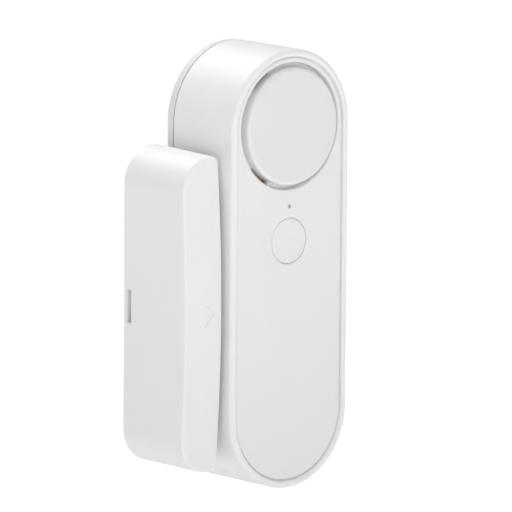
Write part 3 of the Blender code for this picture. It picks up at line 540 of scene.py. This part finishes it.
def make_materials():
    steel = ((0.60, 0.60, 0.61), (0.67, 0.67, 0.67))
    return {
        "shell": moulded_plastic("shell_white", (0.880, 0.876, 0.874), (0.908, 0.905, 0.904), (0.40, 0.50),
                                 grain_depth=0.003, milky=0.5),
        "panel": moulded_plastic("panel_white", (0.858, 0.857, 0.860), (0.880, 0.879, 0.882), (0.34, 0.44),
                                 grain=0.12, grain_depth=0.0015, milky=0.5),
        "cap": moulded_plastic("cap_white", (0.812, 0.811, 0.814), (0.834, 0.833, 0.836), (0.36, 0.46),
                               grain=0.12, grain_depth=0.0015, milky=0.5),
        # The bracket is set darker than the shell to stand for the shadow on its band: painted shade.
        "bracket": moulded_plastic("bracket_white_painted_shade", (0.775, 0.775, 0.762), (0.805, 0.805, 0.792),
                                   (0.45, 0.56)),
        "inner": moulded_plastic("inner_natural", (0.80, 0.795, 0.775), (0.85, 0.845, 0.825), (0.5, 0.62)),
        # The first colour of each foam is the painted shade in its pores.
        "adhesive": foam("adhesive_foam", (0.66, 0.67, 0.66), (0.78, 0.79, 0.78), 0.28, 0.05),
        "gasket": foam("gasket_foam", (0.035, 0.035, 0.038), (0.10, 0.10, 0.105), 0.22, 0.05),
        "brass": brushed_metal("rolled_brass", (0.76, 0.49, 0.12), (0.86, 0.59, 0.17), (0.24, 0.38),
                               along=(0.05, 1.0, 1.0), metallic=0.55),
        "ceramic": moulded_plastic("fired_silver", (0.66, 0.65, 0.61), (0.80, 0.79, 0.74), (0.35, 0.5)),
        "steel": brushed_metal("nickel_plated_steel", *steel, (0.2, 0.36)),
        "spring": brushed_metal("spring_wire", *steel, (0.16, 0.28), along=(1.0, 1.0, 1.0), line=0.4),
        "board": circuit_laminate(),
        "chip": moulded_plastic("moulded_epoxy", (0.014, 0.014, 0.016), (0.032, 0.032, 0.035), (0.38, 0.52)),
        "light": clear_plastic("milky_light_pipe", (0.72, 0.74, 0.76), 0.22, 0.35),
        "glass": clear_plastic("reed_glass", (0.62, 0.78, 0.70), 0.03, 0.85),
        "sleeve": moulded_plastic("cell_sleeve", (0.055, 0.075, 0.105), (0.085, 0.110, 0.150), (0.22, 0.32),
                                  grain=0.5, grain_depth=0.0008),
        "red": moulded_plastic("red_insulation", (0.42, 0.02, 0.02), (0.58, 0.035, 0.03), (0.4, 0.5)),
        "black": moulded_plastic("black_insulation", (0.012, 0.012, 0.012), (0.03, 0.03, 0.03), (0.4, 0.5)),
        "ferrite": moulded_plastic("sintered_ferrite", (0.06, 0.06, 0.065), (0.14, 0.14, 0.15), (0.5, 0.7),
                                   grain=0.3, grain_depth=0.02),
        "nickel": brushed_metal("magnet_nickel", (0.64, 0.64, 0.62), (0.70, 0.70, 0.68), (0.24, 0.32)),
    }


# ---------------------------------------------------------------- stage


def direction(azimuth, elevation):
    """The unit vector from the object towards a camera or light. Azimuth 0 is in front, at -Y."""
    a, e = math.radians(azimuth), math.radians(elevation)
    return Vector((math.sin(a) * math.cos(e), -math.cos(a) * math.cos(e), math.sin(e)))


def place_camera():
    """A long lens from the left and a little above."""
    azimuth, roll = math.radians(CAMERA_AZIMUTH), math.radians(CAMERA_ROLL)
    back = direction(CAMERA_AZIMUTH, CAMERA_ELEVATION)
    right = Vector((math.cos(azimuth), math.sin(azimuth), 0.0))
    up = back.cross(right)
    aim = Vector((0.0, -UNIT_RIM, 0.0)) + right * AIM_RIGHT + up * AIM_UP
    camera = bpy.data.objects.new("camera", bpy.data.cameras.new("camera"))
    bpy.context.scene.collection.objects.link(camera)
    across = right * math.cos(roll) + up * math.sin(roll)
    upward = up * math.cos(roll) - right * math.sin(roll)
    turn = Matrix((across, upward, back)).transposed().to_4x4()
    camera.matrix_world = Matrix.Translation((aim + back * CAMERA_DISTANCE) * MM) @ turn
    camera.data.lens = CAMERA_LENS
    camera.data.clip_start, camera.data.clip_end = CAMERA_CLIP
    bpy.context.scene.camera = camera


def place_lights():
    middle = (CAD_BOUNDS[0] + CAD_BOUNDS[1]) / 2
    for name, (azimuth, elevation, distance, side, power, colour) in LIGHTS.items():
        light = bpy.data.lights.new(name, "AREA")
        light.shape = "SQUARE"
        light.size = side * MM
        light.energy = power
        light.color = colour
        obj = bpy.data.objects.new(name, light)
        bpy.context.scene.collection.objects.link(obj)
        towards = direction(azimuth, elevation)
        obj.location = middle + towards * distance * MM
        obj.rotation_euler = towards.to_track_quat("Z", "Y").to_euler()


def make_sky():
    """An even pale room."""
    world = bpy.data.worlds.new("studio")
    bpy.context.scene.world = world
    world.use_nodes = True
    room = world.node_tree.nodes["Background"]
    room.inputs["Color"].default_value = (1.0, 1.0, 1.0, 1.0)
    room.inputs["Strength"].default_value = SKY_STRENGTH


def make_floor():
    """A pale floor painted with light: it glows white further out, and its glow fades under the object into
    a painted shadow.
    """
    height = CAD_BOUNDS[0].z - FLOOR_DROP * MM
    half = FLOOR_HALF_SIZE * MM
    mesh = bmesh.new()
    corners = ((-half, -half), (half, -half), (half, half), (-half, half))
    mesh.faces.new([mesh.verts.new((x, y, height)) for x, y in corners])
    floor = object_from("floor", mesh)
    material, tree, shader, place = new_material("floor_painted_glow", Roughness=0.9, Specular_IOR_Level=0.1)
    shader.inputs["Emission Color"].default_value = (1.0, 1.0, 1.0, 1.0)
    distance = add(tree, "ShaderNodeVectorMath", {0: place}, operation="LENGTH").outputs["Value"]
    # Painted light: the floor glows, and its glow fades to nothing near the object, a painted shadow under
    # it.
    ramp = {"Value": distance, "From Min": FLOOR_PAINTED_SHADOW_RADIUS, "From Max": FLOOR_BRIGHT_RADIUS,
            "To Max": FLOOR_GLOW}
    glow = add(tree, "ShaderNodeMapRange", ramp, interpolation_type="SMOOTHSTEP").outputs["Result"]
    tree.links.new(glow, shader.inputs["Emission Strength"])
    paper = cloud(tree, place, 40.0, detail=3.0)
    tree.links.new(tint(tree, paper, (0.74, 0.74, 0.74), (0.76, 0.76, 0.76)), shader.inputs["Base Color"])
    floor.data.materials.append(material)


# ---------------------------------------------------------------- bracket


def bracket():
    """The back plate, with shallow pockets in its front, and four hooks with barbs."""
    back_edge = [(BRACKET_INSET + i, d) for i, d in back_fillet(BRACKET_BACK_FILLET, BRACKET_BACK)]
    front_edge = [(BRACKET_INSET + i, d) for i, d in fillet(BRACKET_FRONT_FILLET, BRACKET_FRONT, steps=4)]
    recess_edge = PAD_INSET - GAP
    path = [(recess_edge, PAD_FRONT + GAP), (recess_edge, BRACKET_BACK), *back_edge, *front_edge]
    plate = new_piece("bracket_plate", [stepped_stadium(path)])
    pocket_depths = (BRACKET_FRONT - POCKET_DEPTH, BRACKET_FRONT + PAST)
    pockets = [prism(circle((0, z), POCKET_RADIUS, steps=48), pocket_depths) for z in POCKET_Z]
    combine(plate, pockets, "DIFFERENCE")
    root, tip = HOOK_DEPTHS
    barb_start, barb_full, barb_end = BARB_DEPTHS
    profile = [(HOOK_X[0], root), (HOOK_X[1], root), (HOOK_X[1], barb_start), (BARB_X, barb_full),
               (BARB_X, barb_end), (HOOK_TIP_X, tip), (HOOK_X[0], tip)]
    hooks = []
    for side in (-1, 1):
        for end in (-1, 1):
            hooks.append([[Vector((side * x, -d, z)) * MM for x, d in profile]
                          for z in sorted(end * z for z in HOOK_Z)])
    combine(plate, hooks, "UNION")
    settle(plate, LOOK["bracket"], "bracket_side", ["rear_bracket"])


def bracket_pad():
    path = [*[(PAD_INSET + i, d) for i, d in back_fillet(PAD_FILLET, PAD_BACK, steps=3)],
            *[(PAD_INSET + i, d) for i, d in fillet(PAD_FILLET, PAD_FRONT, steps=3)]]
    pad = new_piece("bracket_foam_pad", [stepped_stadium(path)])
    settle(pad, LOOK["adhesive"], "bracket_side", ["bracket_adhesive_pad"])


# ---------------------------------------------------------------- wall unit: outside


def housing():
    """The outer shell with its rim, and the screw bosses inside it."""
    groove_floor, groove_end = PANEL_FRONT - GROOVE, RIM_WIDTH + GAP - TIGHT
    path = [*back_fillet(UNIT_BACK_FILLET, UNIT_BACK, steps=4), *fillet(RIM_FILLET, UNIT_RIM),
            *[(RIM_WIDTH - i, d) for i, d in reversed(fillet(RIM_INNER_FILLET, UNIT_RIM, steps=5))],
            (RIM_WIDTH, groove_floor), (groove_end, groove_floor),
            (groove_end, PANEL_BACK - GAP), (LEDGE_INSET, PANEL_BACK - GAP),
            (LEDGE_INSET, LEDGE_BACK), (WALL, LEDGE_BACK - GAP), (WALL, UNIT_BACK)]
    shell = new_piece("housing_shell", [stepped_stadium(path)], closed=True)
    bosses = []
    holes = []
    for number, front in enumerate(BOSS_FRONTS, 1):
        screw_centre = centre_of(f"chassis_screw_{number}")
        place = Vector((screw_centre.x, screw_centre.z))
        beside_middle = abs(place.x) > BOSS_RADIUS
        outward = Vector((place.x, 0.0) if beside_middle else (0.0, place.y)).normalized()
        end = place + outward * RIB_REACH
        across = Vector((-outward.y, outward.x)) * RIB_HALF_WIDTH
        rib = [tuple(corner) for corner in (place - across, place + across, end + across, end - across)]
        bosses += [turned(place, [(BOSS_RADIUS, BOSS_BACK), (BOSS_RADIUS, front)], steps=48),
                   prism(rib, (BOSS_BACK + RIB_SHORTER, front - RIB_SHORTER))]
        hole = [(BOSS_HOLE_RADIUS, BOSS_BACK - PAST), (BOSS_HOLE_RADIUS, BOSS_HOLE_FRONT)]
        holes.append(turned(place, hole, steps=32))
    combine(shell, bosses, "UNION")
    combine(shell, holes, "DIFFERENCE")
    settle(shell, LOOK["shell"], "wall_unit", ["main_housing"])


def panel():
    """The inset face, with round edges to its siren, light and button holes."""
    edge = RIM_WIDTH + GAP
    path = [(edge, PANEL_BACK), *[(edge + i, d) for i, d in fillet(PANEL_EDGE, PANEL_FRONT, steps=5)]]
    face = new_piece("panel_face", [stepped_stadium(path)])
    holes = [flared_hole((0, UNIT_ARC_Z), SIREN_HOLE_RADIUS, PANEL_FRONT, PANEL_EDGE),
             flared_hole((0, BUTTON_Z), BUTTON_HOLE_RADIUS, PANEL_FRONT, BUTTON_HOLE_EDGE),
             flared_hole((0, LIGHT_Z), LIGHT_HOLE_RADIUS, PANEL_FRONT, LIGHT_HOLE_EDGE)]
    combine(face, holes, "DIFFERENCE")
    settle(face, LOOK["panel"], "wall_unit", ["front_panel"])


def siren_cap():
    """The siren's disc, with a skirt, a flange under the panel and two openings for the sound."""
    inner = SIREN_CAP_RADIUS - SIREN_CAP_WALL
    flange_radius = box_mm("siren_cap")[1].x
    flange_front = PANEL_BACK - GAP
    step_radius = SIREN_HOLE_RADIUS - TIGHT
    profile = [(inner, SIREN_CAP_FRONT - SIREN_CAP_WALL), (inner, SIREN_CAP_BACK),
               (flange_radius, SIREN_CAP_BACK), (flange_radius, flange_front - FLANGE_CHAMFER),
               (flange_radius - FLANGE_CHAMFER, flange_front), (step_radius, flange_front),
               (step_radius, SIREN_STEP), (SIREN_CAP_RADIUS, SIREN_STEP),
               *[(SIREN_CAP_RADIUS - i, d) for i, d in fillet(SIREN_CAP_FILLET, SIREN_CAP_FRONT)]]
    centre = (0, UNIT_ARC_Z)
    cap = new_piece("siren_cap_disc", [turned(centre, profile)])
    openings = []
    for middle in SIREN_OPENINGS:
        ends = (middle - SIREN_OPENING_HALF_ANGLE, middle + SIREN_OPENING_HALF_ANGLE)
        outline = (arc(centre, SIREN_OPENING_INNER_RADIUS, ends[1], ends[0], steps=16)
                   + arc(centre, flange_radius + PAST, *ends, steps=16))
        openings.append(prism(outline, (SIREN_CAP_BACK - PAST, SIREN_OPENING_FRONT)))
    combine(cap, openings, "DIFFERENCE")
    settle(cap, LOOK["cap"], "wall_unit", ["siren_cap"])


def siren_inside():
    """The chamber, and the brass plate with its silvered disc."""
    centre = (0, UNIT_ARC_Z)
    back, rim = depths_of("siren_chamber")
    outer = box_mm("siren_chamber")[1].x
    plate_back, plate_front = depths_of("piezo_plate")
    plate_radius = box_mm("piezo_plate")[1].x
    seat = plate_radius + GAP
    bore = plate_radius - CHAMBER_LEDGE_WIDTH
    floor, ledge = back + CHAMBER_FLOOR, back + CHAMBER_LEDGE
    profile = [(outer - CHAMBER_CHAMFER, back), (outer, back + CHAMBER_CHAMFER), (outer, rim), (seat, rim),
               (seat, ledge), (bore, ledge), (bore, floor)]
    chamber = new_piece("siren_chamber_cup", [turned(centre, profile)])
    bottom = UNIT_ARC_Z - outer
    notch = box((-NOTCH_HALF_WIDTH, NOTCH_HALF_WIDTH), (floor + NOTCH_MARGIN, ledge - NOTCH_MARGIN),
                (bottom - PAST, bottom + NOTCH_LENGTH))
    combine(chamber, [notch], "DIFFERENCE")
    settle(chamber, LOOK["inner"], "wall_unit", ["siren_chamber"])
    profile = [(plate_radius, plate_back), (plate_radius, plate_front)]
    plate = new_piece("sounder_plate", [turned(centre, profile)])
    settle(plate, LOOK["brass"], "wall_unit", ["piezo_plate"])
    disc_back, disc_front = depths_of("piezo_ceramic")
    disc_radius = box_mm("piezo_ceramic")[1].x
    profile = [(disc_radius - DISC_CHAMFER, disc_back), (disc_radius, disc_back + DISC_CHAMFER),
               (disc_radius, disc_front)]
    disc = new_piece("sounder_disc", [turned(centre, profile)])
    settle(disc, LOOK["ceramic"], "wall_unit", ["piezo_ceramic"])


def button():
    """The button, a hair below the panel, with a shoulder that closes most of its hole."""
    back, front = depths_of("button_cap")
    front -= BUTTON_RECESS
    shoulder = BUTTON_HOLE_RADIUS - TIGHT
    groove_floor = front - BUTTON_GROOVE
    profile = [(BUTTON_STEM_RADIUS, back), (BUTTON_STEM_RADIUS, BUTTON_FLANGE_BACK),
               (BUTTON_FLANGE_RADIUS, BUTTON_FLANGE_BACK), (BUTTON_FLANGE_RADIUS, PANEL_BACK - GAP),
               (shoulder, PANEL_BACK - GAP), (shoulder, groove_floor), (BUTTON_RADIUS, groove_floor),
               *[(BUTTON_RADIUS - i, d) for i, d in fillet(BUTTON_FILLET, front, steps=5)]]
    cap = new_piece("button_disc", [turned((0, BUTTON_Z), profile)])
    settle(cap, LOOK["panel"], "button", ["button_cap"])


def light_pipe():
    back, front = depths_of("light_pipe")
    radius = box_mm("light_pipe")[1].x
    nose, nose_front = LIGHT_HOLE_RADIUS - TIGHT, PANEL_FRONT - LIGHT_NOSE_RECESS
    profile = [(radius, back), *[(radius - i, d) for i, d in fillet(LIGHT_PIPE_FILLET, front, steps=5)],
               (nose, front), *[(nose - i, d) for i, d in fillet(LIGHT_NOSE_FILLET, nose_front, steps=4)]]
    pipe = new_piece("light_pipe_rod", [turned((0, LIGHT_Z), profile, steps=64)])
    settle(pipe, LOOK["light"], "wall_unit", ["light_pipe"])


# ---------------------------------------------------------------- wall unit: back


def cell(name, upright):
    """An AAA cell: a sleeved can with a nub at its positive end and a crimped edge at both ends."""
    low, high = box_mm(name)
    middle = centre_of(name)
    radius, length = (high.x - low.x) / 2, high.z - low.z
    body = length - CELL_NUB_HEIGHT
    profile = [*CELL_FLAT_END, (radius, CELL_CAN_START),
               *[(radius - inset, body - drop) for inset, drop in CELL_SHOULDER],
               (CELL_NUB_RADIUS + CELL_NUB_EDGE, body - CELL_NUB_FOOT),
               (CELL_NUB_RADIUS, body - CELL_NUB_TURN), (CELL_NUB_RADIUS, length - CELL_NUB_EDGE),
               (CELL_NUB_RADIUS - CELL_NUB_EDGE, length)]
    placed = [(r, low.z + z if upright else high.z - z) for r, z in profile]
    obj = new_piece(name + "_fine", [turned_upright(middle.x, -middle.y, placed)])
    settle(obj, [LOOK["sleeve"], LOOK["steel"]], "wall_unit", [name])
    for face in obj.data.polygons:
        z = face.center.z / MM
        height = z - low.z if upright else high.z - z
        if not SLEEVE_START < height < body - SLEEVE_END:
            face.material_index = 1


def contact_spring(name, upward):
    """A conical spring, from its contact plate to the flat end of its cell."""
    low, high = box_mm(name)
    middle = centre_of(name)
    start, end = low.z + SPRING_WIRE_RADIUS, high.z - SPRING_WIRE_RADIUS
    if not upward:
        start, end = end, start
    curve = bpy.data.curves.new(name + "_fine", "CURVE")
    curve.dimensions = "3D"
    curve.bevel_depth = SPRING_WIRE_RADIUS * MM
    curve.bevel_resolution = 3
    curve.use_fill_caps = True
    spline = curve.splines.new("POLY")
    spline.points.add(SPRING_TURNS * SPRING_STEPS)
    for i, point in enumerate(spline.points):
        share = i / (SPRING_TURNS * SPRING_STEPS)
        angle = 2 * math.pi * SPRING_TURNS * share
        radius = SPRING_PLATE_RADIUS + (SPRING_CELL_RADIUS - SPRING_PLATE_RADIUS) * share
        place = Vector((middle.x + radius * math.cos(angle), -(CELL_DEPTH + radius * math.sin(angle)),
                        start + (end - start) * share)) * MM
        point.co = (*place, 1.0)
    obj = bpy.data.objects.new(name + "_fine", curve)
    bpy.context.scene.collection.objects.link(obj)
    curve.materials.append(LOOK["spring"])
    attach(obj, "wall_unit")
    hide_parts(name)


def screw(name):
    """A pan-head screw with a domed head and a cross recess."""
    low, high = box_mm(name)
    middle = centre_of(name)
    radius = (high.x - low.x) / 2
    near, far = -high.y, -low.y
    faces_wall = name.startswith("chassis")
    outside, tip, inwards = (near, far, 1) if faces_wall else (far, near, -1)
    shaft = radius * SHAFT_SHARE
    core = shaft * CORE_SHARE
    head = [(radius * math.cos(a), outside + inwards * DOME_HEIGHT * (1 - math.sin(a)))
            for a in map(math.radians, DOME_ANGLES)]
    start, end = outside + inwards * THREAD_START, tip - inwards * THREAD_END
    step = (end - start) / THREAD_RINGS
    thread = []
    for i in range(THREAD_RINGS):
        thread += [(core, start + step * i), (shaft, start + step * (i + 0.5))]
    under = outside + inwards * HEAD_HEIGHT
    profile = [*head, (radius, under), (core, under), *thread, (core, end), (shaft * TIP_SHARE, tip)]
    obj = new_piece(name + "_fine", [turned((middle.x, middle.z), profile, steps=48)])
    arm, half = radius * CROSS_SHARE, CROSS_HALF_WIDTH
    outline = []
    quarter = [(arm, half), (half * CROSS_CORNER, half * CROSS_CORNER), (half, arm)]
    for _ in range(4):
        outline += [(middle.x + x, middle.z + z) for x, z in quarter]
        quarter = [(-z, x) for x, z in quarter]
    cross = prism(outline, (outside - inwards * CROSS_PAST, outside + inwards * CROSS_DEPTH))
    combine(obj, [cross], "DIFFERENCE")
    settle(obj, LOOK["steel"], "wall_unit", [name])


# ---------------------------------------------------------------- magnet unit


def magnet_rows(inset):
    """Rows (z, left x, right x) of the outline, drawn inwards by inset, from the bottom to the top."""
    half = MAGNET_HALF_HEIGHT
    straight = half - MAGNET_LEFT_RADIUS
    left, right = MAGNET_LEFT_RADIUS - inset, max(MAGNET_RIGHT_RADIUS - inset, SHARP_CORNER)
    corner = half - inset - right
    finish_angle = math.degrees(math.asin(min(1.0, (corner - straight) / left)))
    rise = [straight + left * math.sin(math.radians(finish_angle * i / MAGNET_ARC_STEPS))
            for i in range(1, MAGNET_ARC_STEPS)]
    finish = [corner + right * math.sin(math.radians(90 * i / MAGNET_CORNER_STEPS))
              for i in range(MAGNET_CORNER_STEPS + 1)]
    middle = [-straight + 2 * straight * i / MAGNET_STRAIGHT_STEPS for i in range(MAGNET_STRAIGHT_STEPS + 1)]
    upper = rise + finish
    rows = []
    for z in [-z for z in reversed(upper)] + middle + upper:
        left_rise, right_rise = max(abs(z) - straight, 0.0), max(abs(z) - corner, 0.0)
        left_reach = math.sqrt(max(left ** 2 - left_rise ** 2, 0.0))
        right_reach = math.sqrt(max(right ** 2 - right_rise ** 2, 0.0))
        rows.append((z + MAGNET_MIDDLE.z, MAGNET_LOW.x + inset + left - left_reach,
                     MAGNET_HIGH.x - inset - right + right_reach))
    return rows


def magnet_point(x, z, depth, crowned):
    """A point of the magnet unit, moved for the front's crown and for the draft of the top face."""
    share = (z - MAGNET_MIDDLE.z) / MAGNET_HALF_HEIGHT
    if crowned:
        depth -= MAGNET_CROWN * share ** 2
    return Vector((x, -depth, z - MAGNET_TOP_DRAFT * max(share, 0.0) * depth / MAGNET_FRONT)) * MM


def magnet_ring(inset, depth, crowned):
    rows = magnet_rows(inset)
    left = [magnet_point(x, z, depth, crowned) for z, x, _ in rows]
    right = [magnet_point(x, z, depth, crowned) for z, _, x in rows]
    return left + right[::-1]


def magnet_skin(mesh, rings):
    """Skins the rings and fills both ends with a strip of faces from left to right, which can be curved."""
    loops = [[mesh.verts.new(point) for point in ring] for ring in rings]
    for near, far in zip(loops, loops[1:]):
        for i in range(len(near)):
            mesh.faces.new((near[i - 1], near[i], far[i], far[i - 1]))
    for loop in (loops[0], loops[-1]):
        for i in range(len(loop) // 2 - 1):
            mesh.faces.new((loop[i], loop[i + 1], loop[-2 - i], loop[-1 - i]))


def arrow_outline():
    """The small arrow that marks the side that faces the wall unit."""
    tip_x, tail_x = MAGNET_HIGH.x - ARROW_TIP, MAGNET_HIGH.x - ARROW_TAILS
    z = MAGNET_MIDDLE.z
    along = Vector((tip_x - tail_x, -ARROW_HALF_HEIGHT)).normalized()
    shift = ARROW_STROKE / abs(along.y)
    right_side = [(tail_x, z + ARROW_HALF_HEIGHT), (tip_x, z), (tail_x, z - ARROW_HALF_HEIGHT)]
    return right_side + [(x - shift, height) for x, height in reversed(right_side)]


def magnet_cover():
    """The lid: a soft front edge, an engraved arrow, and the slot that it is prised off by."""
    rings = [magnet_ring(MAGNET_WALL, MAGNET_FRONT - MAGNET_WALL, True),
             magnet_ring(MAGNET_WALL, MAGNET_BACK, False),
             *[magnet_ring(i, d, False) for i, d in back_fillet(MAGNET_BACK_FILLET, MAGNET_BACK, steps=3)],
             *[magnet_ring(i, d, True) for i, d in fillet(MAGNET_FILLET, MAGNET_FRONT)]]
    mesh = bmesh.new()
    magnet_skin(mesh, rings)
    lid = object_from("magnet_lid_shell", mesh)
    outside = MAGNET_LOW.x - PAST
    slot = box((outside, MAGNET_LOW.x + MAGNET_WALL + PAST), PRY_SLOT_DEPTHS, PRY_SLOT_Z)
    mouth_depths, mouth_z = ((start - PRY_SLOT_LIP, end + PRY_SLOT_LIP)
                             for start, end in (PRY_SLOT_DEPTHS, PRY_SLOT_Z))
    mouth = box((outside, MAGNET_LOW.x + PRY_SLOT_LIP_DEPTH), mouth_depths, mouth_z)
    arrow = prism(arrow_outline(), (MAGNET_FRONT - ARROW_GROOVE, MAGNET_FRONT + PAST))
    combine(lid, [slot, mouth, arrow], "DIFFERENCE")
    settle(lid, LOOK["shell"], "magnet_lid", ["magnet_cover"])


# ---------------------------------------------------------------- pieces that keep their CAD shape


def refined_pieces():
    """Boxy pieces: their CAD shape with round edges. Each has an edge radius, a look, a body and a slot."""
    pieces = {
        "battery_chassis": (0.12, "inner", "wall_unit", "inner_plastic"),
        "magnet_base": (0.12, "inner", "magnet_side", "inner_plastic"),
        "bar_magnet": (0.25, "nickel", "magnet_side", "magnet_nickel"),
        "magnet_foam_strip": (0.08, "gasket", "magnet_side", "gasket_foam"),
        "battery_link_plate": (0.08, "steel", "wall_unit", "steel"),
        "battery_positive_plate": (0.08, "steel", "wall_unit", "steel"),
        "battery_negative_plate": (0.08, "steel", "wall_unit", "steel"),
        "circuit_board": (0.05, "board", "wall_unit", "board_green"),
        "radio_module_board": (0.05, "board", "wall_unit", "board_green"),
        "radio_module_shield": (0.2, "steel", "wall_unit", "steel"),
        "microcontroller": (0.08, "chip", "wall_unit", "chip_black"),
        "reservoir_capacitor": (0.15, "ferrite", "wall_unit", "ferrite"),
        "tact_switch_body": (0.1, "chip", "wall_unit", "chip_black"),
        "status_led": (0.1, "light", "wall_unit", "light_pipe"),
    }
    for node, (edge, look, body, slot) in pieces.items():
        settle(refined(node, edge), LOOK[look], body, [node])


def carried_over():
    """CAD nodes that are shown as they are, with their finished materials."""
    looks = {
        "magnet_adhesive_pad": "adhesive",
        "piezo_gasket": "gasket",
        "piezo_wire_red": "red",
        "piezo_wire_black": "black",
        "tact_switch_plunger": "chip",
        "reed_switch_glass": "glass",
        "reed_lead_upper": "steel",
        "reed_lead_lower": "steel",
        "step_up_coil": "ferrite",
        "siren_capacitor": "sleeve",
        "antenna_coil": "brass",
    }
    for node, look in looks.items():
        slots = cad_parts[node].material_slots
        for slot in slots:
            slot.link = "OBJECT"
            slot.material = LOOK[look]


bpy.context.scene.view_settings.view_transform = "Standard"
place_camera()
place_lights()
make_sky()
make_floor()
LOOK = make_materials()
bracket()
bracket_pad()
housing()
panel()
siren_cap()
siren_inside()
button()
light_pipe()
cell("battery_cell_left", True)
cell("battery_cell_right", False)
contact_spring("battery_spring_left", True)
contact_spring("battery_spring_right", False)
for number in (1, 2, 3, 4):
    screw(f"chassis_screw_{number}")
screw("board_screw_left")
screw("board_screw_right")
magnet_cover()
refined_pieces()
carried_over()
